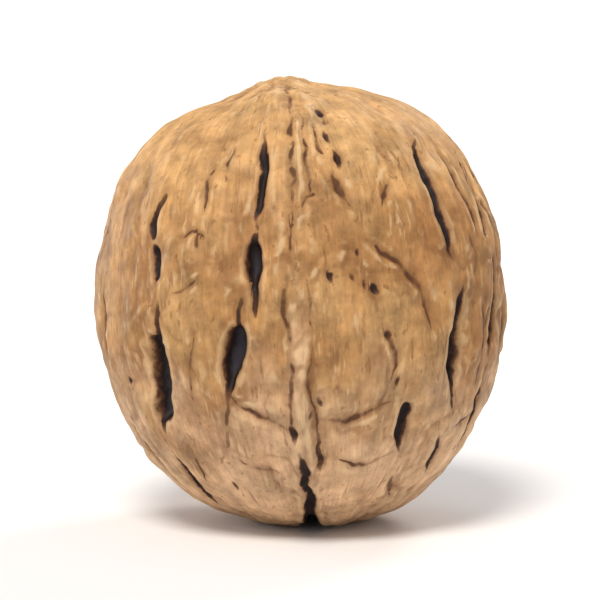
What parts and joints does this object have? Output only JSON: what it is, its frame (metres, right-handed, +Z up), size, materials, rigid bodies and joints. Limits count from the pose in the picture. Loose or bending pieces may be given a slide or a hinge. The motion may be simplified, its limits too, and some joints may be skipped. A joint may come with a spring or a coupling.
{
  "type": "walnut",
  "caption": "Whole dry walnut in its closed, furrowed shell, with a low rib along the seam, a blunt tip and a small flat at the stem end that it stands on.",
  "frame": {"origin": "on the surface that the nut stands on, under the middle of its outline seen from above", "axes": "+Z up, with the tip at the top; the front of the seam faces -Y; the two cheeks lie towards -X and +X. The nut's own axis leans 6 degrees back, towards +Y, and 3.5 degrees to -X"},
  "size_m": [0.0382, 0.038, 0.0414],
  "materials": {
    "shell": "dry matt nutshell, light tan with dark brown furrows"
  },
  "bodies": {
    "root": {"walnut": "shell"}
  },
  "joints": []
}
